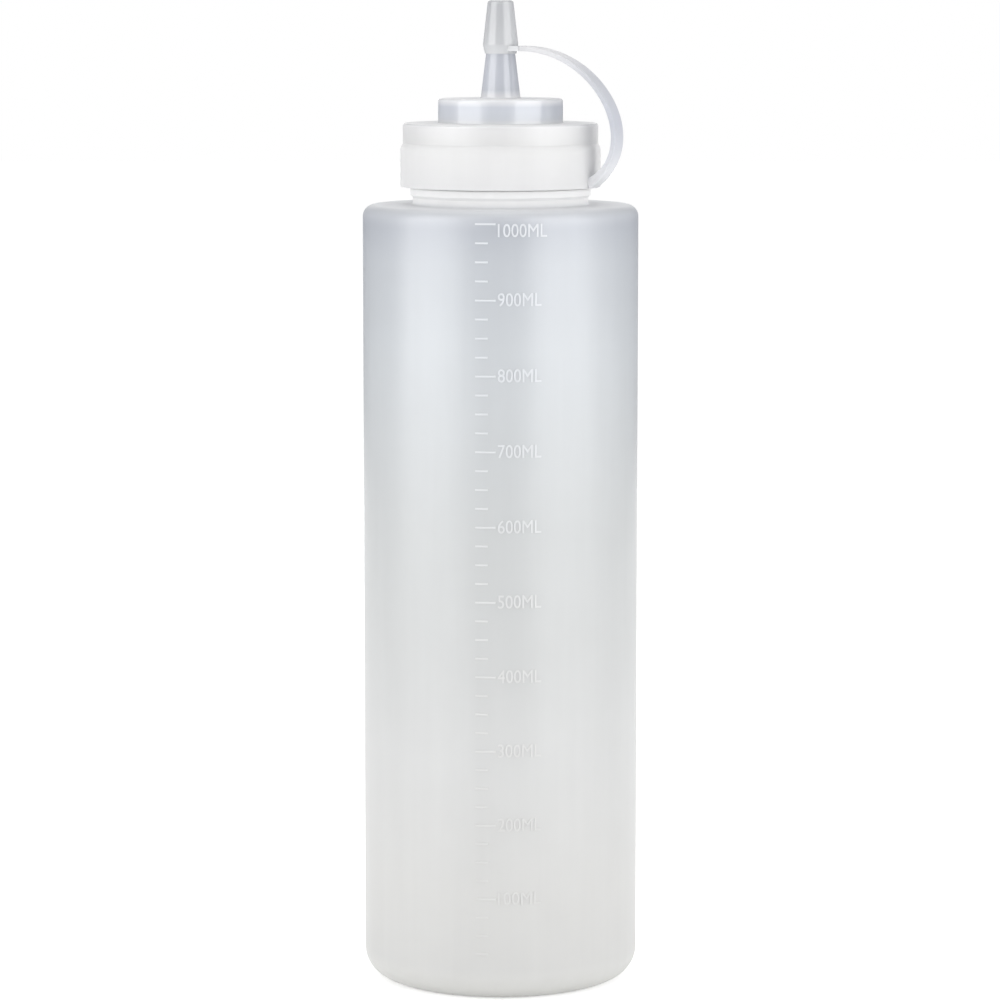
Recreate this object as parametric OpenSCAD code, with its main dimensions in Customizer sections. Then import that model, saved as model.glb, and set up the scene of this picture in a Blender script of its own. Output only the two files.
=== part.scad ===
// Squeeze bottle for sauce, one litre, with a tethered push-on tip cap.
// All lengths are millimetres. The bottle stands on z = 0 with its axis on Z,
// and its graduation faces the front, which is -Y.

/* [Bottle body] */
// Outer diameter of the bottle body
body_d = 79.6; // [70:0.2:100]
// Height of the flat shoulder above the table
shoulder_z = 226.1; // [180:0.1:260]
// Wall of the blown body
body_wall = 1.2; // [0.8:0.1:2]
// Rounding of the base corner
base_round = 8; // [4:0.5:12]
// Rounding of the shoulder corner
shoulder_round = 3.4; // [3:0.2:8]
// Width of the flat ring that the bottle stands on
foot_w = 3.4; // [2:0.2:6]
// Rise of the base inside the standing ring
push_up = 2.6; // [1:0.2:4]

/* [Neck] */
// Outer diameter of the neck wall
neck_d = 50.6; // [46:0.2:54]
// Wall of the neck
neck_wall = 1.5; // [1.2:0.1:2.5]
// Height of the neck above the shoulder
neck_h = 20.8; // [18:0.2:26]
// Diameter of the bead below the thread
bead_d = 52.2; // [51.8:0.2:56]
// Height of the bead
bead_h = 2.1; // [1.5:0.1:3]
// Height of the bead above the shoulder
bead_rise = 2.8; // [2.4:0.1:5]

/* [Thread] */
// Rise of the thread in one turn
thread_pitch = 4.2; // [3.8:0.1:5]
// Turns of the thread on the neck
neck_turns = 1.75; // [1:0.25:2]
// Turns of the thread inside the cap
cap_turns = 1; // [0.75:0.25:1.5]
// Height of each thread ridge from its wall
thread_depth = 0.8; // [0.6:0.05:1]
// Width of each thread ridge at its wall
thread_root_w = 1.7; // [1.4:0.1:1.8]
// Width of each thread ridge at its crest
thread_crest_w = 0.8; // [0.5:0.1:1]
// Radial gap between a crest and the wall that it faces
thread_gap = 0.3; // [0.2:0.05:0.5]

/* [Cap] */
// Wall of the cap skirt under the tether ring
skirt_wall = 1; // [0.8:0.1:1.6]
// Thickness of the cap top
cap_top_t = 1.6; // [1.2:0.1:2.5]
// Width of the step that the tether ring sits under
band_step = 0.75; // [0.5:0.05:1.2]
// Height of the full-width band above the tether ring
band_h = 5.8; // [4:0.2:8]
// Rounding of the cap edges
cap_round = 0.9; // [0.5:0.1:1.2]
// Gap between the cap skirt and the neck bead
skirt_clear = 0.3; // [0.2:0.1:1]
// Diameter of the collar on the cap
collar_d = 36; // [28:0.5:44]
// Height of the collar above the cap top
collar_h = 7; // [4:0.5:12]
// Wall of the collar
collar_wall = 1.5; // [1.2:0.1:2.5]

/* [Nozzle] */
// Diameter of the nozzle where it leaves the collar
nozzle_base_d = 11.5; // [10:0.25:14]
// Height of the nozzle above the collar
nozzle_h = 20.2; // [16:0.2:26]
// Half-angle of the nozzle's taper in degrees
nozzle_taper = 6.95; // [6:0.05:8]
// Diameter of the hole at the nozzle's tip
orifice_d = 3.6; // [2:0.1:4.4]
// Wall of the nozzle where it leaves the collar
nozzle_wall = 1.3; // [1:0.1:2]
// Rounding of the nozzle's tip
nozzle_round = 0.4; // [0.2:0.1:0.6]

/* [Seal] */
// Thickness of the sealing ring
seal_t = 1; // [0.6:0.1:2]
// Width of the sealing ring
seal_w = 3.6; // [3:0.1:6]

/* [Tether] */
// Thickness of the tether ring
ring_t = 1.45; // [1.2:0.05:2.2]
// Height of the rounded taper at the tether ring's top
ring_taper_h = 2.3; // [1:0.1:4]
// Running gap between the tether ring and the cap skirt
ring_fit = 0.06; // [0.04:0.01:0.1]
// Play of the tether ring along the cap
ring_play = 0.1; // [0.05:0.05:0.3]
// Radial height of the lip that keeps the tether ring on
lip_w = 0.35; // [0.25:0.05:0.5]
// Height of the lip that keeps the tether ring on
lip_h = 0.9; // [0.6:0.1:1.4]
// Width of the strap
strap_w = 6; // [4:0.5:8]
// Thickness of the strap
strap_t = 1.5; // [1:0.1:2]
// Thickness of the strap at its root on the tether ring
root_t = 3; // [2:0.1:3.6]
// Reach of the strap's bow beyond the tether ring
strap_bow = 7.5; // [5:0.5:14]
// Direction of the strap seen from above, in degrees from +X
strap_turn = -25; // [-60:5:60]

/* [Tip cap] */
// Height of the tip cap
tip_h = 15.2; // [13:0.1:18]
// Distance from the nozzle's tip down to the tip cap's lower edge
tip_overlap = 7.4; // [5:0.1:8]
// Wall of the tip cap at its widest place, outside its mouth
tip_wall = 0.8; // [0.6:0.05:1.5]
// Wall of the tip cap round the top of its hole
tip_top_wall = 0.65; // [0.5:0.05:1.2]
// Height of the tip cap's widest place above its lower edge
tip_rim_h = 2.6; // [2:0.1:4]
// Thickness of the tip cap's top
tip_top_t = 1.2; // [0.8:0.1:2]
// Gap between the nozzle and the tip cap's lower edge
tip_fit = 0.1; // [0.05:0.01:0.15]
// Taper of the hole in the tip cap, in degrees
tip_taper = 4.8; // [4:0.1:5.5]
// Length of the tab that the strap ends at, outside the tip cap's widest place
tab_len = 1.9; // [1.5:0.1:4]
// Gap between the tab and the strap
strap_gap = 0.15; // [0.1:0.05:0.3]

/* [Graduation] */
// Volume between two numbered marks, in millilitres
mark_volume = 100; // [50:50:100]
// Short marks between two numbered marks
short_marks = 3; // [1:1:4]
// Height of the lowest numbered mark
first_mark_z = 30.2; // [26:0.2:36]
// Distance of the marks' left end from the bottle's middle
mark_left = 7.2; // [6:0.2:12]
// Length of a numbered mark
long_mark = 5.8; // [4:0.2:8]
// Length of a short mark
short_mark = 3.6; // [2:0.2:5]
// Height of each mark's line
mark_line = 0.55; // [0.4:0.05:0.8]
// How far the marks stand out of the wall
mark_rise = 0.25; // [0.15:0.05:0.4]

/* [Hidden] */
$fn = 96;

// Bottle
body_r = body_d / 2;
neck_r = neck_d / 2;
bead_r = bead_d / 2;
body_in_r = body_r - body_wall;
neck_in_r = neck_r - neck_wall;
foot_r = body_r - base_round;
push_r = foot_r - foot_w;
lip_z = shoulder_z + neck_h;
bead_z = shoulder_z + bead_rise;
bead_chamfer = bead_r - neck_r;
neck_fillet = 0.8;
sink = 0.4;

// Cap
neck_crest_r = neck_r + thread_depth;
skirt_in_r = neck_crest_r + thread_gap;
skirt_r = skirt_in_r + skirt_wall;
band_r = skirt_r + band_step;
cap_under_z = lip_z + seal_t;
cap_top_z = cap_under_z + cap_top_t;
band_z = cap_top_z - band_h;
skirt_z = bead_z + bead_h + skirt_clear;
collar_r = collar_d / 2;
collar_in_r = collar_r - collar_wall;
collar_z = cap_top_z + collar_h;

// Nozzle
nozzle_base_r = nozzle_base_d / 2;
nozzle_z = collar_z + nozzle_h;
nozzle_tip_r = nozzle_base_r - nozzle_h * tan(nozzle_taper);
bore_base_r = nozzle_base_r - nozzle_wall;

// Threads: the cap's ridge lies midway between two turns of the neck's
neck_thread_z = bead_z + bead_h + 2.8;
cap_thread_z = neck_thread_z + thread_pitch / 2;

// Tether ring
ring_in_r = skirt_r + ring_fit;
ring_r = ring_in_r + ring_t;
ring_z = skirt_z - ring_play;
ring_top_z = band_z - ring_play;
lip_r = skirt_r + lip_w;
// The taper is an arc that starts upright on the ring's wall and ends flush with the cap's band
ring_taper_w = ring_r - band_r;
ring_taper_r = (pow(ring_taper_w, 2) + pow(ring_taper_h, 2)) / (2 * ring_taper_w);

// Tip cap
tip_z = nozzle_z - tip_overlap;
tip_top_z = tip_z + tip_h;
tip_mouth_r = nozzle_tip_r + tip_overlap * tan(nozzle_taper) + tip_fit;
tip_bore_h = tip_h - tip_top_t;
tip_bore_r = tip_mouth_r - tip_bore_h * tan(tip_taper);
tip_edge = 0.25;
tip_r = tip_mouth_r + tip_wall;
tip_top_r = tip_bore_r + tip_top_wall;
tab_reach = tip_r + tab_len;
tab_z = tip_z + 1.5;

// Strap, drawn in its own upright plane through the axis
strap_start = [tab_reach + strap_gap, tab_z];
strap_end = [ring_r - 0.3, ring_z + root_t / 2 - 0.2];
strap_pull_up = [ring_r + 2.8, tab_z];
strap_pull_out = [ring_r + 2.36 * strap_bow, ring_z + 11.8];
strap_steps = 26;
// Share of the strap's length over which it thickens to its root
root_share = 0.22;

// Graduation: even steps, because the body is a straight cylinder, up to the shoulder's rounding
mark_step = mark_volume * 1000 / (PI * body_in_r * body_in_r);
short_step = mark_step / (short_marks + 1);
mark_top_z = shoulder_z - 0.6 * shoulder_round;
mark_count = floor((mark_top_z - first_mark_z) / mark_step) + 1;

function bezier(a, b, c, d, t) =
    pow(1 - t, 3) * a + 3 * pow(1 - t, 2) * t * b + 3 * (1 - t) * t * t * c + t * t * t * d;

function strap_point(t) = bezier(strap_start, strap_pull_up, strap_pull_out, strap_end, t);

function unit(v) = v / norm(v);

// Left-hand normal of the strap's middle line at t, which points to its outer face
function strap_normal(t) =
    let (step = 0.01, ahead = unit(strap_point(t + step) - strap_point(t - step)))
    [-ahead[1], ahead[0]];

function strap_half(t) =
    strap_t / 2 + (root_t - strap_t) / 2 * pow(max(0, (t - 1 + root_share) / root_share), 2);

// Ring of four corners of a thread ridge at a turn angle; wall_dir is 1 for a ridge that
// stands outward from its wall and -1 for one that stands inward
function ridge_corners(wall_r, wall_dir, angle, mid_z) =
    [for (c = [[-sink, thread_root_w / 2], [thread_depth, thread_crest_w / 2],
               [thread_depth, -thread_crest_w / 2], [-sink, -thread_root_w / 2]])
        [(wall_r + wall_dir * c[0]) * cos(angle), (wall_r + wall_dir * c[0]) * sin(angle),
         mid_z + wall_dir * c[1]]];

// Half of a rounded-edge can, to be turned about the axis
module can_profile(r, low, high, low_round, high_round) {
    translate([0, low + low_round]) square([r, high - low - low_round - high_round]);
    translate([0, low]) square([r - low_round, 2 * low_round]);
    translate([0, high - 2 * high_round]) square([r - high_round, 2 * high_round]);
    translate([r - low_round, low + low_round]) circle(low_round);
    translate([r - high_round, high - high_round]) circle(high_round);
}

// Helical ridge of a thread, right-handed, that climbs with the turn angle
module thread_ridge(wall_r, wall_dir, start_z, turns) {
    steps = round(36 * turns);
    rings = [for (i = [0:steps]) each ridge_corners(wall_r, wall_dir, 360 * turns * i / steps,
                                                    start_z + thread_pitch * turns * i / steps)];
    last = 4 * steps;
    sides = [for (i = [0:steps - 1], k = [0:3])
        let (a = 4 * i + k, b = 4 * i + (k + 1) % 4)
        each [[a, b + 4, b], [a, a + 4, b + 4]]];
    ends = [[0, 2, 3], [0, 1, 2], [last, last + 2, last + 1], [last, last + 3, last + 2]];
    polyhedron(rings, concat(sides, ends));
}

// Raised line of the graduation, wrapped on the front of the body
module mark(z, length) {
    intersection() {
        translate([-mark_left, -body_r - 2, z - mark_line / 2]) cube([length, body_r, mark_line]);
        difference() {
            cylinder(r = body_r + mark_rise, h = lip_z);
            translate([0, 0, -1]) cylinder(r = body_r - 2 * body_wall / 3, h = lip_z + 2);
        }
    }
}

module graduation() {
    for (i = [0:mark_count - 1]) {
        z = first_mark_z + i * mark_step;
        mark(z, long_mark);
        for (k = [1:short_marks]) mark(z - k * short_step, short_mark);
    }
}

module bottle_outside() {
    rotate_extrude() {
        can_profile(body_r, 0, shoulder_z, base_round, shoulder_round);
        translate([0, shoulder_z - 1]) square([neck_r, neck_h + 1]);
        translate([0, shoulder_z - 1]) difference() {
            square([neck_r + neck_fillet, 1 + neck_fillet]);
            translate([neck_r + neck_fillet, 1 + neck_fillet]) circle(neck_fillet);
        }
        polygon([[0, bead_z - bead_chamfer], [neck_r, bead_z - bead_chamfer], [bead_r, bead_z],
                 [bead_r, bead_z + bead_h], [0, bead_z + bead_h]]);
    }
}

module bottle_inside() {
    rotate_extrude() difference() {
        union() {
            can_profile(body_in_r, body_wall, shoulder_z - body_wall,
                        base_round - body_wall, shoulder_round - body_wall);
            translate([0, shoulder_z - 2 * body_wall]) square([neck_in_r, neck_h + 4 * body_wall]);
        }
        polygon([[0, 0], [push_r + body_wall, 0], [push_r - push_up / 2 + body_wall / 2,
                 push_up + body_wall], [0, push_up + body_wall]]);
    }
}

module bottle() {
    color("gainsboro") difference() {
        union() {
            bottle_outside();
            graduation();
            thread_ridge(neck_r, 1, neck_thread_z, neck_turns);
        }
        bottle_inside();
        translate([0, 0, -sink])
            cylinder(r1 = push_r + sink / 2, r2 = push_r - push_up / 2, h = push_up + sink);
    }
}

module seal_ring() {
    color("whitesmoke") translate([0, 0, lip_z]) difference() {
        cylinder(r = neck_r, h = seal_t);
        translate([0, 0, -1]) cylinder(r = neck_r - seal_w, h = seal_t + 2);
    }
}

module cap_outside() {
    rotate_extrude() {
        translate([0, skirt_z]) square([skirt_r, cap_top_z - skirt_z - cap_round]);
        polygon([[0, skirt_z], [lip_r - lip_w / 2, skirt_z], [lip_r, skirt_z + lip_h / 2],
                 [lip_r, skirt_z + lip_h], [0, skirt_z + lip_h]]);
        translate([0, band_z]) square([band_r, band_h - cap_round]);
        translate([0, cap_top_z - 2 * cap_round]) square([band_r - cap_round, 2 * cap_round]);
        translate([band_r - cap_round, cap_top_z - cap_round]) circle(cap_round);
        translate([0, cap_under_z]) square([collar_r, collar_z - cap_under_z - cap_round]);
        translate([0, cap_top_z]) square([collar_r - cap_round, collar_h]);
        translate([collar_r - cap_round, collar_z - cap_round]) circle(cap_round);
        polygon([[0, collar_z - 1], [nozzle_base_r, collar_z - 1], [nozzle_base_r, collar_z],
                 [nozzle_tip_r + nozzle_round * tan(nozzle_taper), nozzle_z - nozzle_round],
                 [nozzle_tip_r - nozzle_round, nozzle_z], [0, nozzle_z]]);
    }
}

module cap_inside() {
    translate([0, 0, skirt_z - 1]) cylinder(r = skirt_in_r, h = cap_under_z - skirt_z + 1);
    cylinder(r = collar_in_r, h = collar_z - collar_wall);
    translate([0, 0, collar_z - collar_wall - 1])
        cylinder(r1 = bore_base_r, r2 = orifice_d / 2, h = nozzle_h + collar_wall + 1);
    translate([0, 0, nozzle_z - 1]) cylinder(d = orifice_d, h = 2);
}

module nozzle_cap() {
    color("white") {
        difference() {
            cap_outside();
            cap_inside();
        }
        thread_ridge(skirt_in_r, -1, cap_thread_z, cap_turns);
    }
}

module tether_ring() {
    ring_h = ring_top_z - ring_z;
    color("white") translate([0, 0, ring_z]) rotate_extrude() difference() {
        intersection() {
            translate([ring_in_r, 0]) square([ring_t, ring_h]);
            union() {
                square([ring_r, ring_h - ring_taper_h]);
                translate([ring_r - ring_taper_r, ring_h - ring_taper_h]) circle(ring_taper_r);
            }
        }
        translate([0, -1]) square([lip_r + ring_fit, lip_h + 2 * ring_play + 1]);
    }
}

// Side outline of the strap, from its tab end to its root in the tether ring
module strap_outline() {
    places = [for (i = [0:strap_steps]) i / strap_steps];
    outer = [for (t = places) strap_point(t) + strap_half(t) * strap_normal(t)];
    inner = [for (t = places) strap_point(1 - t) - strap_half(1 - t) * strap_normal(1 - t)];
    polygon(concat(outer, inner));
}

module tether_strap() {
    color("white") difference() {
        rotate([0, 0, strap_turn]) translate([0, strap_w / 2, 0]) rotate([90, 0, 0])
            linear_extrude(strap_w) strap_outline();
        cylinder(r = ring_r, h = ring_top_z);
    }
}

module tip_cap() {
    color("white") difference() {
        union() {
            rotate_extrude() {
                polygon([[0, tip_z], [tip_mouth_r + tip_edge, tip_z], [tip_r, tip_z + tip_rim_h],
                         [tip_top_r, tip_top_z - cap_round], [0, tip_top_z - cap_round]]);
                translate([0, tip_top_z - 2 * cap_round])
                    square([tip_top_r - cap_round, 2 * cap_round]);
                translate([tip_top_r - cap_round, tip_top_z - cap_round]) circle(cap_round);
            }
            rotate([0, 0, strap_turn]) translate([0, -strap_w / 2, tab_z - strap_t / 2])
                cube([tab_reach, strap_w, strap_t]);
        }
        translate([0, 0, tip_z]) cylinder(r1 = tip_mouth_r, r2 = tip_bore_r, h = tip_bore_h);
        translate([0, 0, tip_z - 1]) cylinder(r = tip_mouth_r, h = 1);
    }
}

bottle();
seal_ring();
nozzle_cap();
tether_ring();
tether_strap();
tip_cap();
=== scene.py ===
import math

import bpy
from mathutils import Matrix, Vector


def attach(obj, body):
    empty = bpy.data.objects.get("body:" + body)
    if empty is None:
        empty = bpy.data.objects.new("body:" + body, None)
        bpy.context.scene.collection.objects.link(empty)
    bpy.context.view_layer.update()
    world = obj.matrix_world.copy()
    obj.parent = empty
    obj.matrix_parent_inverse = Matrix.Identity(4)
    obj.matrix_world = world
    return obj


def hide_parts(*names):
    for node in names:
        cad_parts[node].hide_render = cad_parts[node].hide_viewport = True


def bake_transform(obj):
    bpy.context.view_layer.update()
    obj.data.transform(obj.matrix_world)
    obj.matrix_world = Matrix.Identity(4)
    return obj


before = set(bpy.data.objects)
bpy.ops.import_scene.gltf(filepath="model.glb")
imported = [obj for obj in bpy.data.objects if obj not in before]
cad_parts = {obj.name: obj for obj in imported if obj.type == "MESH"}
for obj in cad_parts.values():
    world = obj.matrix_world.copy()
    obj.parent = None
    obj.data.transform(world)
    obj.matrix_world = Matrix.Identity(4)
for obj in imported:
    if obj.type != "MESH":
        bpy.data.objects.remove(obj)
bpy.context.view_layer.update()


# Bottle: a tall blown body with a soft round foot, a flat shoulder and a wide screw neck.
# It is low-density polyethylene, about 1.2 mm thick, milky and slightly blue, blown in a
# two-part mould that also raises the graduation out of the wall.
mm = 0.001
body_r = 39.8
wall_in_r = 38.6
foot_r = 28.4
foot_round = 8
push_up = 2.6
base_t = 1.2
shoulder_z = 226.1
shoulder_in_z = 224.9
neck_r = 25.3
neck_in_r = 23.8
bead_r = 26.1
bead_z = 228.9
bead_top_z = 231.0
lip_z = 246.9
thread_pitch = 4.2
thread_depth = 0.8


def edit(piece, mode="EDGE"):
    bpy.ops.object.select_all(action="DESELECT")
    piece.select_set(True)
    bpy.context.view_layer.objects.active = piece
    bpy.ops.object.mode_set(mode="EDIT")
    bpy.ops.mesh.select_mode(type=mode)
    bpy.ops.mesh.select_all(action="DESELECT")


def done():
    bpy.ops.object.mode_set(mode="OBJECT")


def turned(name, rings, sides=192, closed=False):
    """Pulls a circle through rings of (radius, height) in mm, as on a lathe. A radius of 0
    at either end closes it at a point; closed joins the last ring to the first."""
    bpy.ops.object.select_all(action="DESELECT")
    core = [ring for ring in rings if ring[0] > 0]
    r, z = core[0]
    bpy.ops.mesh.primitive_circle_add(vertices=sides, radius=r * mm, location=(0, 0, z * mm))
    piece = bpy.context.object
    piece.name = piece.data.name = name
    bpy.ops.object.transform_apply(location=True, rotation=True, scale=True)
    edit(piece)
    bpy.ops.mesh.select_all(action="SELECT")
    if rings[0][0] == 0:
        bpy.ops.mesh.edge_face_add()
        bpy.ops.mesh.poke()
        close_pole(piece, rings[0][1])
        pick_ring(piece, r, z)
    for (r0, z0), (r1, z1) in zip(core, core[1:]):
        bpy.ops.mesh.extrude_edges_indiv()
        bpy.ops.transform.translate(value=(0, 0, (z1 - z0) * mm))
        bpy.ops.transform.resize(value=(r1 / r0, r1 / r0, 1), center_override=(0, 0, z1 * mm))
    if rings[-1][0] == 0:
        bpy.ops.mesh.edge_face_add()
        bpy.ops.mesh.poke()
        close_pole(piece, rings[-1][1])
    bpy.ops.mesh.select_all(action="SELECT")
    if closed:
        bpy.ops.mesh.remove_doubles(threshold=0.000004)
    bpy.ops.mesh.normals_make_consistent(inside=False)
    done()
    return piece


def close_pole(piece, z):
    """Puts the middle point that poke has just made at height z."""
    done()
    for vert in piece.data.vertices:
        if vert.select and math.hypot(vert.co.x, vert.co.y) < 0.00001:
            vert.co.z = z * mm
    edit(piece)


def pick_ring(piece, *places):
    """Selects the edge rings at the given radius and height pairs, in mm."""
    done()
    found = []
    for vert in piece.data.vertices:
        r, z = math.hypot(vert.co.x, vert.co.y) / mm, vert.co.z / mm
        if any(abs(r - places[i]) < 0.01 and abs(z - places[i + 1]) < 0.01
               for i in range(0, len(places), 2)):
            found.append(vert.index)
    found = set(found)
    edit(piece)
    done()
    for edge in piece.data.edges:
        a, b = edge.vertices
        level = abs(piece.data.vertices[a].co.z - piece.data.vertices[b].co.z) < 0.000002
        edge.select = level and a in found and b in found
    bpy.ops.object.mode_set(mode="EDIT")


def round_ring(piece, radius, segments, *places):
    pick_ring(piece, *places)
    bpy.ops.mesh.bevel(offset=radius * mm, segments=segments, affect="EDGES", clamp_overlap=False)
    done()


def smooth(piece, degrees=35):
    bpy.ops.object.select_all(action="DESELECT")
    piece.select_set(True)
    bpy.context.view_layer.objects.active = piece
    bpy.ops.object.shade_smooth_by_angle(angle=math.radians(degrees))


def fused(*pieces):
    bpy.ops.object.select_all(action="DESELECT")
    for piece in pieces:
        piece.select_set(True)
    bpy.context.view_layer.objects.active = pieces[0]
    bpy.ops.object.join()
    return pieces[0]


def thread(name, wall_r, way, start_z, turns, run_out=24):
    """One ridge of a right-handed screw thread, run out into its wall at both ends."""
    bpy.ops.object.select_all(action="DESELECT")
    bpy.ops.mesh.primitive_plane_add(size=1)
    ridge = bpy.context.object
    ridge.name = ridge.data.name = name
    corners = [(-0.4, -0.85), (thread_depth, -0.4), (-0.4, 0.85), (thread_depth, 0.4)]
    for vert, (out, up) in zip(ridge.data.vertices, corners):
        vert.co = Vector(((wall_r + way * out) * mm, 0, (start_z + up) * mm))
    edit(ridge, "FACE")
    bpy.ops.mesh.select_all(action="SELECT")
    bpy.ops.mesh.delete(type="ONLY_FACE")
    done()
    screw = ridge.modifiers.new("screw", "SCREW")
    screw.angle = math.radians(360 * turns)
    screw.screw_offset = thread_pitch * turns * mm
    screw.steps = screw.render_steps = round(72 * turns)
    bpy.ops.object.modifier_apply(modifier="screw")
    # Near both of its ends the ridge sinks into the wall, over run_out degrees of a turn.
    for vert in ridge.data.vertices:
        turn = ((vert.co.z / mm - start_z) / thread_pitch) * 360
        share = min(1, max(0, min(turn + 30, 360 * turns + 30 - turn) / run_out - 0.9))
        r = math.hypot(vert.co.x, vert.co.y)
        ease = share * share * (3 - 2 * share)
        k = (wall_r * mm + (r - wall_r * mm) * ease - (1 - ease) * way * 0.0002) / r
        vert.co.x *= k
        vert.co.y *= k
    edit(ridge)
    bpy.ops.mesh.select_all(action="SELECT")
    bpy.ops.mesh.fill_holes(sides=4)
    bpy.ops.mesh.select_all(action="SELECT")
    bpy.ops.mesh.normals_make_consistent(inside=False)
    done()
    return ridge


bottle = turned("bottle_body", [
    (0, push_up), (foot_r - 1.3, push_up), (foot_r, 0), (body_r - foot_round, 0), (body_r, 0),
    (body_r, 60), (body_r, 120), (body_r, 180), (body_r, shoulder_z), (neck_r, shoulder_z),
    (neck_r, bead_z - 0.8), (bead_r, bead_z), (bead_r, bead_top_z), (neck_r, bead_top_z),
    (neck_r, lip_z), (neck_in_r, lip_z), (neck_in_r, shoulder_in_z),
    (wall_in_r, shoulder_in_z), (wall_in_r, 180), (wall_in_r, 120), (wall_in_r, 60),
    (wall_in_r, base_t), (foot_r + base_t, base_t), (foot_r - 0.7, push_up + base_t),
    (0, push_up + base_t)])
round_ring(bottle, foot_round - 0.01, 14, body_r, 0)
round_ring(bottle, 3.4, 10, body_r, shoulder_z)
round_ring(bottle, 6.8, 12, wall_in_r, base_t)
round_ring(bottle, 2.2, 8, wall_in_r, shoulder_in_z)
round_ring(bottle, 0.8, 5, neck_r, shoulder_z)
round_ring(bottle, 0.35, 3, bead_r, bead_top_z)
round_ring(bottle, 0.5, 4, neck_r, lip_z, neck_in_r, lip_z)

neck_thread = thread("neck_thread", neck_r, 1, 233.8, 1.75)


def on_wall(x, z, out):
    """A point of the front wall, x to the right of its middle line, out above its surface."""
    angle = x / body_r
    return Vector(((body_r + out) * mm * math.sin(angle), -(body_r + out) * mm * math.cos(angle),
                   z * mm))


first_mark_z = 30.2
mark_step = 21.364
mark_left = -7.2
mark_line = 0.55
long_mark = 5.8
short_mark = 3.6
short_marks = 3
marks = []


def raised_line(z, length):
    bpy.ops.object.select_all(action="DESELECT")
    bpy.ops.mesh.primitive_cube_add(size=1)
    line = bpy.context.object
    line.name = line.data.name = "mark"
    for vert in line.data.vertices:
        vert.co = Vector(((vert.co.x + 0.5) * length, vert.co.y * mark_line, vert.co.z + 0.5))
    edit(line)
    bpy.ops.mesh.select_all(action="SELECT")
    bpy.ops.mesh.subdivide(number_cuts=1)
    done()
    edit(line)
    done()
    for edge in line.data.edges:
        ends = [line.data.vertices[v].co for v in edge.vertices]
        edge.select = all(abs(p.z - 1) < 0.01 for p in ends) and (
            all(abs(abs(p.y) - mark_line / 2) < 0.01 for p in ends)
            or all(p.x < 0.01 or p.x > length - 0.01 for p in ends))
    bpy.ops.object.mode_set(mode="EDIT")
    bpy.ops.mesh.bevel(offset=0.12, segments=2, affect="EDGES")
    done()
    for vert in line.data.vertices:
        vert.co = on_wall(mark_left + vert.co.x, z + vert.co.y, -0.3 + vert.co.z * 0.52)
    return line


for i in range(10):
    z = first_mark_z + i * mark_step
    marks.append(raised_line(z, long_mark))
    for k in range(1, short_marks + 1):
        marks.append(raised_line(z - k * mark_step / (short_marks + 1), short_mark))


number_left = -0.8
number_h = 5.3
number_w = 12.4
last_number_w = 14
last_number_drop = 2


def raised_number(words, z, width):
    bpy.ops.object.select_all(action="DESELECT")
    bpy.ops.object.text_add()
    number = bpy.context.object
    number.name = "number"
    number.data.body = words
    number.data.size = number_h
    number.data.extrude = 0.17
    number.data.bevel_depth = 0.05
    number.data.bevel_resolution = 1
    number.data.offset = -0.02
    number.data.resolution_u = 4
    number.data.align_y = "CENTER"
    bpy.ops.object.convert(target="MESH")
    across = [vert.co.x for vert in number.data.vertices]
    squeeze = width / (max(across) - min(across))
    for vert in number.data.vertices:
        x = (vert.co.x - min(across)) * squeeze + number_left
        vert.co = on_wall(x, z + vert.co.y, -0.05 + vert.co.z)
    return number


for i in range(9):
    marks.append(raised_number("%d00ML" % (i + 1), first_mark_z + i * mark_step, number_w))
marks.append(raised_number("1000ML", first_mark_z + 9 * mark_step - last_number_drop,
                           last_number_w))


def node(tree, kind, operation=None, **values):
    """Adds a node; values are for its sockets, with _ for the space in a socket's name."""
    made = tree.nodes.new(kind)
    if operation:
        made.operation = operation
    for name, value in values.items():
        made.inputs[name.replace("_", " ")].default_value = value
    return made


ramp_height = 0.3


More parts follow.
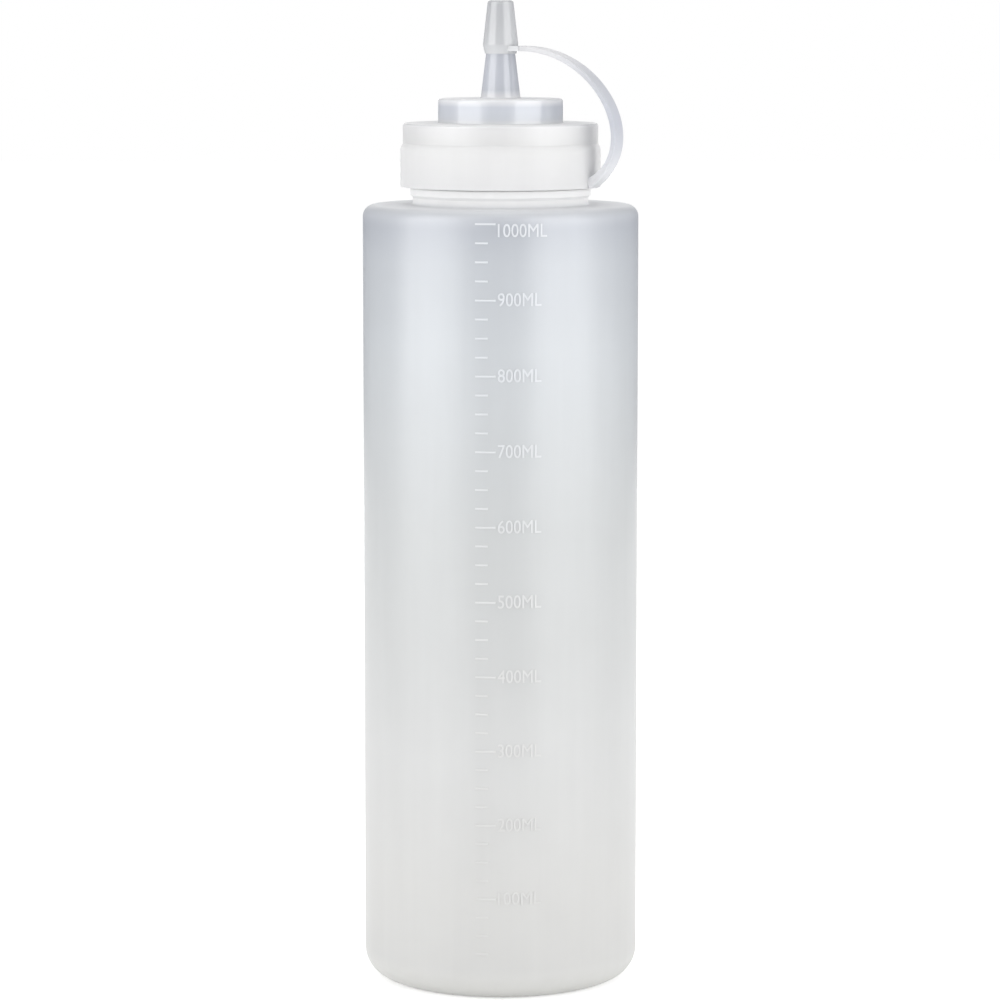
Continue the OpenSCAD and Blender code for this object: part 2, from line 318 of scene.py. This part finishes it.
def milky(name, stops, glow, see_through, bump=0.25, specular=0.5):
    """Milky polyethylene: stops give its tint, with light and shade painted into it by height,
    and its roughness at heights in mm, with faint clouds and flow lines over them. Some light
    passes the wall scattered (glow), a little straight."""
    material = bpy.data.materials.new(name)
    material.use_nodes = True
    tree = material.node_tree
    tree.nodes.clear()
    link = tree.links.new
    place = node(tree, "ShaderNodeTexCoord")
    split = node(tree, "ShaderNodeSeparateXYZ")
    link(place.outputs["Object"], split.inputs[0])
    height = node(tree, "ShaderNodeMapRange", From_Min=0, From_Max=ramp_height)
    link(split.outputs["Z"], height.inputs["Value"])
    tint_and_painted_shade = node(tree, "ShaderNodeValToRGB")
    ramp = tint_and_painted_shade.color_ramp
    ramp.interpolation = "LINEAR"
    while len(ramp.elements) < len(stops):
        ramp.elements.new(0.5)
    # The ramp sorts its elements as they move, so all places are set before any colour.
    for element, (z, colour, roughness) in zip(ramp.elements, stops):
        element.position = z * mm / ramp_height
    for element, (z, colour, roughness) in zip(ramp.elements, stops):
        element.color = (*colour, roughness)
    link(height.outputs[0], tint_and_painted_shade.inputs[0])

    clouds = node(tree, "ShaderNodeTexNoise", Scale=55, Detail=3)
    link(place.outputs["Object"], clouds.inputs["Vector"])
    stretch = node(tree, "ShaderNodeMapping", Scale=(260, 260, 14))
    link(place.outputs["Object"], stretch.inputs["Vector"])
    flow = node(tree, "ShaderNodeTexNoise", Scale=1, Detail=2)
    link(stretch.outputs[0], flow.inputs["Vector"])
    blend_noise = node(tree, "ShaderNodeMath", operation="ADD")
    link(clouds.outputs["Fac"], blend_noise.inputs[0])
    link(flow.outputs["Fac"], blend_noise.inputs[1])
    shade = node(tree, "ShaderNodeMapRange", From_Min=0.7, From_Max=1.3, To_Min=0.985,
                 To_Max=1.012)
    link(blend_noise.outputs[0], shade.inputs["Value"])
    colour = node(tree, "ShaderNodeVectorMath", operation="SCALE")
    link(tint_and_painted_shade.outputs["Color"], colour.inputs[0])
    link(shade.outputs[0], colour.inputs["Scale"])

    grain = node(tree, "ShaderNodeTexNoise", Scale=900, Detail=2)
    link(place.outputs["Object"], grain.inputs["Vector"])
    rough = node(tree, "ShaderNodeMath", operation="MULTIPLY_ADD")
    rough.inputs[1].default_value = 0.06
    link(clouds.outputs["Fac"], rough.inputs[0])
    link(tint_and_painted_shade.outputs["Alpha"], rough.inputs[2])
    bumps = node(tree, "ShaderNodeBump", Strength=bump, Distance=0.00004)
    link(grain.outputs["Fac"], bumps.inputs["Height"])

    skin = node(tree, "ShaderNodeBsdfPrincipled", Specular_IOR_Level=specular)
    link(colour.outputs[0], skin.inputs["Base Color"])
    link(rough.outputs[0], skin.inputs["Roughness"])
    link(bumps.outputs[0], skin.inputs["Normal"])
    scattered = node(tree, "ShaderNodeBsdfTranslucent")
    link(colour.outputs[0], scattered.inputs["Color"])
    body = node(tree, "ShaderNodeMixShader", Fac=glow)
    link(skin.outputs[0], body.inputs[1])
    link(scattered.outputs[0], body.inputs[2])
    last = body
    if see_through:
        clear = node(tree, "ShaderNodeBsdfTransparent")
        last = node(tree, "ShaderNodeMixShader", Fac=see_through)
        link(body.outputs[0], last.inputs[1])
        link(clear.outputs[0], last.inputs[2])
    out = node(tree, "ShaderNodeOutputMaterial")
    link(last.outputs[0], out.inputs["Surface"])
    return material


# The body's colour by height holds painted light: a paler foot as painted bounce light from the
# floor, a painted shade band darkest at 221 mm on the shoulder's rounding, and a pale painted
# highlight on the shoulder's flat top. Between them the wall grows darker and bluer towards the
# top.
body_tint_and_painted_shade = milky("milky_body", [
    (0, (0.82, 0.82, 0.795), 0.27), (9, (0.715, 0.715, 0.705), 0.27),
    (31, (0.73, 0.73, 0.72), 0.27), (69, (0.722, 0.727, 0.725), 0.27),
    (102, (0.675, 0.685, 0.685), 0.27), (136, (0.655, 0.67, 0.675), 0.27),
    (187, (0.66, 0.685, 0.71), 0.27), (211, (0.61, 0.635, 0.67), 0.27),
    (221, (0.55, 0.575, 0.62), 0.27), (224, (0.62, 0.64, 0.68), 0.27),
    (225.7, (0.68, 0.70, 0.72), 0.27), (226.05, (0.84, 0.85, 0.87), 0.27)],
    0.30, 0, specular=0.85)
neck_painted_light = milky("milky_neck", [
    (226.1, (0.84, 0.85, 0.87), 0.5), (226.4, (0.94, 0.94, 0.94), 0.5)], 0.20, 0, specular=0)
# The shoulder's flat top and the neck have the finish without gloss, in a colour of painted
# light: the neck is painted near white against the shade the cap throws on it.
for piece in (bottle, neck_thread):
    piece.data.materials.clear()
    piece.data.materials.append(body_tint_and_painted_shade)
    piece.data.materials.append(neck_painted_light)
    for face in piece.data.polygons:
        if face.center.z > (shoulder_z - 0.05) * mm:
            face.material_index = 1
mark_finish = milky("milky_marks", [
    (20, (0.745, 0.745, 0.737), 0.3), (60, (0.765, 0.765, 0.76), 0.3),
    (110, (0.78, 0.785, 0.785), 0.3), (190, (0.79, 0.81, 0.84), 0.3)], 0.25, 0)
for piece in marks:
    piece.data.materials.clear()
    piece.data.materials.append(mark_finish)
bottle = fused(bottle, neck_thread, *marks)
smooth(bottle)
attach(bottle, "bottle")
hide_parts("bottle")


# Sealing ring: a flat soft foil washer, punched out and pressed into the cap's top, that
# closes on the neck's lip. It lifts with the cap and lies inside it, out of sight.
seal_in_r = 21.7
seal_top_z = lip_z + 1
seal = turned("seal_foil", [(neck_r, lip_z), (neck_r, seal_top_z), (seal_in_r, seal_top_z),
                            (seal_in_r, lip_z), (neck_r, lip_z)], sides=128, closed=True)
round_ring(seal, 0.15, 2, neck_r, lip_z, neck_r, seal_top_z, seal_in_r, seal_top_z,
           seal_in_r, lip_z)
smooth(seal)
seal.data.materials.clear()
seal.data.materials.append(milky("seal_foil", [
    (246, (0.82, 0.82, 0.80), 0.6), (248, (0.86, 0.86, 0.84), 0.6)], 0.05, 0, specular=0.3))
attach(seal, "seal")
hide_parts("seal_ring")


# Nozzle cap: one injection moulding of whiter polyethylene. A skirt with an inner thread, a
# broader band, a raised collar and the tapered nozzle with its small round outlet.
skirt_z = 231.3
skirt_r = 27.4
skirt_in_r = 26.4
lip_r = 27.75
band_r = 28.15
band_z = 243.7
cap_top_z = 249.5
collar_r = 18
collar_in_r = 16.5
collar_z = 256.5
nozzle_r = 5.75
nozzle_z = 276.7
nozzle_cap = turned("screw_cap", [
    (skirt_in_r, skirt_z), (lip_r - 0.175, skirt_z), (lip_r, skirt_z + 0.45),
    (lip_r, skirt_z + 0.9), (skirt_r, skirt_z + 0.9), (skirt_r, band_z), (band_r, band_z),
    (band_r, cap_top_z), (collar_r, cap_top_z), (collar_r, collar_z), (nozzle_r, collar_z),
    (3.337, nozzle_z - 0.4), (2.888, nozzle_z), (1.8, nozzle_z), (4.333, collar_z - 1.5),
    (collar_in_r, collar_z - 1.5), (collar_in_r, seal_top_z), (skirt_in_r, seal_top_z),
    (skirt_in_r, skirt_z)], closed=True)
round_ring(nozzle_cap, 0.9, 6, band_r, cap_top_z)
round_ring(nozzle_cap, 0.9, 6, collar_r, collar_z)
round_ring(nozzle_cap, 0.3, 3, collar_r, cap_top_z)
round_ring(nozzle_cap, 0.5, 4, nozzle_r, collar_z)
cap_thread = thread("cap_thread", skirt_in_r, -1, 235.9, 1)
nozzle_cap = fused(nozzle_cap, cap_thread)
smooth(nozzle_cap)
nozzle_cap.data.materials.clear()
# The cap's colour by height is painted light: pale painted highlights on the rounded top edges of
# the band and the collar, and painted shade, darker and bluer, on the collar's side and the
# nozzle.
nozzle_cap.data.materials.append(milky("milky_cap", [
    (243.7, (0.79, 0.79, 0.79), 0.45), (248.6, (0.80, 0.80, 0.805), 0.45),
    (249.45, (0.94, 0.94, 0.945), 0.40), (249.6, (0.92, 0.925, 0.935), 0.08),
    (251.0, (0.76, 0.785, 0.83), 0.06), (254.8, (0.68, 0.705, 0.76), 0.06),
    (255.9, (0.96, 0.96, 0.965), 0.10), (257.0, (0.94, 0.94, 0.95), 0.10),
    (258.8, (0.65, 0.67, 0.72), 0.06), (276, (0.62, 0.64, 0.69), 0.06)],
    0.30, 0.10, bump=0.08, specular=1.0))
nozzle_cap.data.materials.append(milky("milky_tops", [
    (249.5, (0.93, 0.93, 0.935), 0.5), (256.5, (0.95, 0.95, 0.955), 0.5)],
    0.30, 0.10, bump=0.08, specular=0))
# The flat tops of the band and the collar have the finish without gloss, painted near white as a
# painted highlight on the faces that look up.
for face in nozzle_cap.data.polygons:
    if face.normal.z > 0.9 and (cap_top_z - 0.1) * mm < face.center.z < (collar_z + 0.1) * mm:
        face.material_index = 1
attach(nozzle_cap, "cap")
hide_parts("nozzle_cap")


# Tether ring: a wide soft band of clear-white polyethylene that snaps over the cap's lip
# and turns freely under its band. The strap and the tip cap are moulded to it.
ring_z = 231.2
ring_top_z = 243.68
ring_r = 28.91
ring_in_r = 27.46
groove_r = 27.81
groove_z = 232.3
taper_h = 2.3
taper_w = ring_r - band_r
taper_r = (taper_w ** 2 + taper_h ** 2) / (2 * taper_w)
taper = []
for i in range(7):
    rise = taper_h * i / 6
    taper.append((ring_r - taper_r + math.sqrt(taper_r ** 2 - rise ** 2),
                  ring_top_z - taper_h + rise))
ring = turned("tether_band", [
    (groove_r, ring_z), (ring_r, ring_z), *taper, (ring_in_r, ring_top_z),
    (ring_in_r, groove_z), (groove_r, groove_z), (groove_r, ring_z)], closed=True)
round_ring(ring, 0.2, 3, ring_r, ring_z)
smooth(ring)
ring.data.materials.clear()
ring.data.materials.append(milky("milky_tether", [
    (231, (0.88, 0.88, 0.885), 0.5), (244, (0.88, 0.88, 0.88), 0.5)],
    0.35, 0.15, bump=0.08, specular=0.4))
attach(ring, "tether")
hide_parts("tether_ring")


# Strap: a flat flexible tongue, 6 by 1.5 mm, thicker at its root in the band. It bows out to the
# front right; the real strap bends near its upper end when the tip cap is pulled off, but this
# mesh is built in its rest shape only.
strap_turn = math.radians(-25)
strap_w = 6
strap_t = 1.5
tab_z = 270.8
strap_line = [Vector((7.14, tab_z)), Vector((31.71, tab_z)), Vector((46.61, 243.0)),
              Vector((28.61, 232.5))]
strap_cuts = 59


def strap_point(t):
    a, b, c, d = strap_line
    return (1 - t) ** 3 * a + 3 * (1 - t) ** 2 * t * b + 3 * (1 - t) * t * t * c + t ** 3 * d


bpy.ops.object.select_all(action="DESELECT")
bpy.ops.mesh.primitive_cube_add(size=1)
strap = bpy.context.object
strap.name = strap.data.name = "strap"
edit(strap)
done()
for edge in strap.data.edges:
    a, b = (strap.data.vertices[v].co for v in edge.vertices)
    edge.select = abs(a.x - b.x) > 0.5
bpy.ops.object.mode_set(mode="EDIT")
bpy.ops.mesh.bevel(offset=0.09, segments=3, affect="EDGES")
done()
edit(strap)
done()
for edge in strap.data.edges:
    a, b = (strap.data.vertices[v].co for v in edge.vertices)
    edge.select = abs(a.x - b.x) > 0.5
bpy.ops.object.mode_set(mode="EDIT")
bpy.ops.mesh.subdivide(number_cuts=strap_cuts)
bpy.ops.mesh.select_all(action="SELECT")
bpy.ops.mesh.normals_make_consistent(inside=False)
done()
for vert in strap.data.vertices:
    t = min(1, max(0, vert.co.x + 0.5))
    here = strap_point(t)
    ahead = (strap_point(min(1, t + 0.01)) - strap_point(max(0, t - 0.01))).normalized()
    half = strap_t / 2 * (1 + max(0, (t - 0.78) / 0.22) ** 2)
    side = strap_w * vert.co.y
    rho = here.x - ahead.y * vert.co.z * 2 * half
    z = here.y + ahead.x * vert.co.z * 2 * half
    if z < ring_top_z:
        rho = max(rho, math.sqrt((ring_r - 0.31) ** 2 - side ** 2))
    x = rho * math.cos(strap_turn) - side * math.sin(strap_turn)
    y = rho * math.sin(strap_turn) + side * math.cos(strap_turn)
    vert.co = Vector((x, y, z)) * mm
smooth(strap)
strap.data.materials.clear()
# The strap's colour by height is painted light: pale near its root and near the tip cap, with
# painted shade darker through its middle.
strap.data.materials.append(milky("milky_strap", [
    (232, (0.88, 0.88, 0.89), 0.3), (240, (0.74, 0.75, 0.78), 0.3),
    (250, (0.64, 0.655, 0.70), 0.3), (262, (0.66, 0.67, 0.70), 0.3),
    (270, (0.80, 0.80, 0.81), 0.3)], 0.45, 0.08, bump=0.08, specular=0.15))
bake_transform(strap)
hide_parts("tether_strap")


# Tip cap: a thin tapered thimble with a rounded top, pushed over the nozzle's tip, with a
# thicker rim at its mouth and a short flat tab that carries on into the strap.
tip_z = 269.3
tip_rim_z = 271.9
tip_rim_r = 5.09
tip_mouth_r = 4.29
tip_top_r = 3.76
tip_top_z = 284.5
tip = turned("tip_thimble", [
    (tip_mouth_r, tip_z), (tip_mouth_r + 0.25, tip_z), (tip_rim_r, tip_rim_z),
    (tip_top_r, tip_top_z - 0.9), (tip_top_r, tip_top_z), (0, tip_top_z)], sides=96)
tip_bore = turned("tip_bore", [(tip_mouth_r, tip_z), (3.114, tip_top_z - 1.2),
                               (0, tip_top_z - 1.2)], sides=96)
round_ring(tip, 0.85, 5, tip_top_r, tip_top_z)
edit(tip_bore)
bpy.ops.mesh.select_all(action="SELECT")
bpy.ops.mesh.flip_normals()
done()
tip = fused(tip, tip_bore)
edit(tip)
bpy.ops.mesh.select_all(action="SELECT")
bpy.ops.mesh.remove_doubles(threshold=0.000004)
bpy.ops.mesh.normals_make_consistent(inside=False)
done()
round_ring(tip, 0.3, 3, tip_rim_r, tip_rim_z)
bpy.ops.object.select_all(action="DESELECT")
bpy.ops.mesh.primitive_cube_add(size=1)
tab = bpy.context.object
edit(tab)
bpy.ops.mesh.select_all(action="SELECT")
bpy.ops.mesh.subdivide(number_cuts=7)
done()
for vert in tab.data.vertices:
    side = strap_w * vert.co.y
    inner = math.sqrt(4.5 ** 2 - side ** 2)
    rho = inner + (6.99 - inner) * (vert.co.x + 0.5)
    vert.co = Vector((rho * math.cos(strap_turn) - side * math.sin(strap_turn),
                      rho * math.sin(strap_turn) + side * math.cos(strap_turn),
                      tab_z + strap_t * vert.co.z)) * mm
tip = fused(tip, tab)
tip.name = tip.data.name = "tip_thimble"
smooth(tip)
tip.data.materials.clear()
# The tip cap's colour is painted shade, darker towards its top.
tip.data.materials.append(milky("milky_tip", [
    (269, (0.76, 0.77, 0.78), 0.06), (273, (0.68, 0.69, 0.705), 0.05),
    (284, (0.59, 0.60, 0.62), 0.05)], 0.30, 0.15, bump=0.06, specular=1.0))
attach(tip, "tip")
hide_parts("tip_cap")


# Studio: a white floor under a white surround, soft boxes to the left and right of the camera
# and wide washes around it, grey cards that only the gloss shows, and a long lens.
def background_rays(tree):
    """Tells the rays that show the white background from those that light the bottle."""
    ray = node(tree, "ShaderNodeLightPath")
    seen = node(tree, "ShaderNodeMath", operation="MAXIMUM")
    shiny = node(tree, "ShaderNodeMath", operation="MAXIMUM")
    tree.links.new(ray.outputs["Is Camera Ray"], seen.inputs[0])
    tree.links.new(ray.outputs["Is Glossy Ray"], shiny.inputs[0])
    tree.links.new(ray.outputs["Is Transmission Ray"], shiny.inputs[1])
    tree.links.new(shiny.outputs[0], seen.inputs[1])
    return seen.outputs[0]


bpy.ops.object.select_all(action="DESELECT")
bpy.ops.mesh.primitive_plane_add(size=12, location=(0, 0, 0))
floor = bpy.context.object
floor.name = "floor"
paper = bpy.data.materials.new("white_paper")
paper.use_nodes = True
tree = paper.node_tree
tree.nodes.clear()
matt = node(tree, "ShaderNodeBsdfDiffuse", Color=(0.8, 0.8, 0.8, 1))
lit = node(tree, "ShaderNodeEmission", Strength=0.50)
added = node(tree, "ShaderNodeAddShader")
tree.links.new(matt.outputs[0], added.inputs[0])
tree.links.new(lit.outputs[0], added.inputs[1])
pick = node(tree, "ShaderNodeMixShader")
tree.links.new(background_rays(tree), pick.inputs[0])
tree.links.new(matt.outputs[0], pick.inputs[1])
tree.links.new(added.outputs[0], pick.inputs[2])
out = node(tree, "ShaderNodeOutputMaterial")
tree.links.new(pick.outputs[0], out.inputs["Surface"])
floor.data.materials.append(paper)

world = bpy.data.worlds.new("studio")
bpy.context.scene.world = world
world.use_nodes = True
tree = world.node_tree
tree.nodes.clear()
fill = node(tree, "ShaderNodeBackground", Color=(1, 1, 1, 1), Strength=0.67)
white = node(tree, "ShaderNodeBackground", Color=(1, 1, 1, 1), Strength=1.0)
pick = node(tree, "ShaderNodeMixShader")
tree.links.new(background_rays(tree), pick.inputs[0])
tree.links.new(fill.outputs[0], pick.inputs[1])
tree.links.new(white.outputs[0], pick.inputs[2])
out = node(tree, "ShaderNodeOutputWorld")
tree.links.new(pick.outputs[0], out.inputs["Surface"])


def soft_box(name, azimuth, distance, z, width, height, power):
    """A soft box at azimuth degrees to the right of the camera, facing the bottle's axis."""
    light = bpy.data.lights.new(name, "AREA")
    light.shape = "RECTANGLE"
    light.size = width
    light.size_y = height
    light.energy = power
    lamp = bpy.data.objects.new(name, light)
    bpy.context.scene.collection.objects.link(lamp)
    a = math.radians(azimuth)
    spot = Vector((distance * math.sin(a), -distance * math.cos(a), z))
    lamp.location = spot
    lamp.rotation_euler = (Vector((0, 0, z)) - spot).to_track_quat("-Z", "Y").to_euler()
    return lamp


# The upright boxes show as two pale bands in the gloss; wide washes light the walls evenly.
for box in (soft_box("left_box", -61, 1.1, 0.79, 1.00, 1.50, 12),
            soft_box("right_box", 53, 1.1, 0.79, 1.10, 1.50, 13)):
    box.visible_diffuse = False
# The top wash hangs over the bottle and points straight down.
top_wash = soft_box("top_wash", 180, 0.15, 1.5, 1.3, 1.3, 5)
top_wash.rotation_euler = (0, 0, 0)
for wash in (soft_box("left_wash", -58, 1.0, 0.30, 1.3, 0.6, 6.6),
             soft_box("right_wash", 58, 1.0, 0.30, 1.3, 0.6, 6.6),
             soft_box("back_wash", 180, 1.2, 0.35, 1.3, 0.7, 5), top_wash):
    wash.visible_glossy = False

grey_board =bpy.data.materials.new("grey_board")
grey_board.use_nodes = True
tree = grey_board.node_tree
tree.nodes["Principled BSDF"].inputs["Base Color"].default_value = (0.18, 0.18, 0.20, 1)
tree.nodes["Principled BSDF"].inputs["Roughness"].default_value = 0.9


def grey_card(name, azimuth, distance, width, height):
    """A grey card at azimuth degrees to the right of the camera, which only the gloss shows."""
    bpy.ops.object.select_all(action="DESELECT")
    bpy.ops.mesh.primitive_plane_add(size=1)
    card = bpy.context.object
    card.name = name
    a = math.radians(azimuth)
    across = Vector((math.cos(a), math.sin(a), 0)) * width
    middle = Vector((distance * math.sin(a), -distance * math.cos(a), height / 2 + 0.01))
    for vert in card.data.vertices:
        vert.co = middle + across * vert.co.x + Vector((0, 0, vert.co.y * height))
    card.data.materials.append(grey_board)
    card.visible_camera = False
    card.visible_diffuse = False
    card.visible_shadow = False


# The two behind the bottle darken its edges, the one behind the camera its middle.
grey_card("left_card", -130, 1.2, 1.7, 1.6)
grey_card("right_card", 135, 1.2, 1.4, 1.6)
grey_card("front_card", -5, 1.5, 1.2, 2.6)

# The camera is level with the bottle's top and looks down by 7 degrees.
lens = bpy.data.cameras.new("camera")
lens.lens = 147.24
lens.sensor_width = 36
lens.clip_start = 0.05
camera = bpy.data.objects.new("camera", lens)
bpy.context.scene.collection.objects.link(camera)
camera.location = (-0.00017, -1.1824, 0.2852)
camera.rotation_euler = (math.radians(83), 0, 0)
bpy.context.scene.camera = camera
bpy.context.scene.view_settings.view_transform = "Standard"
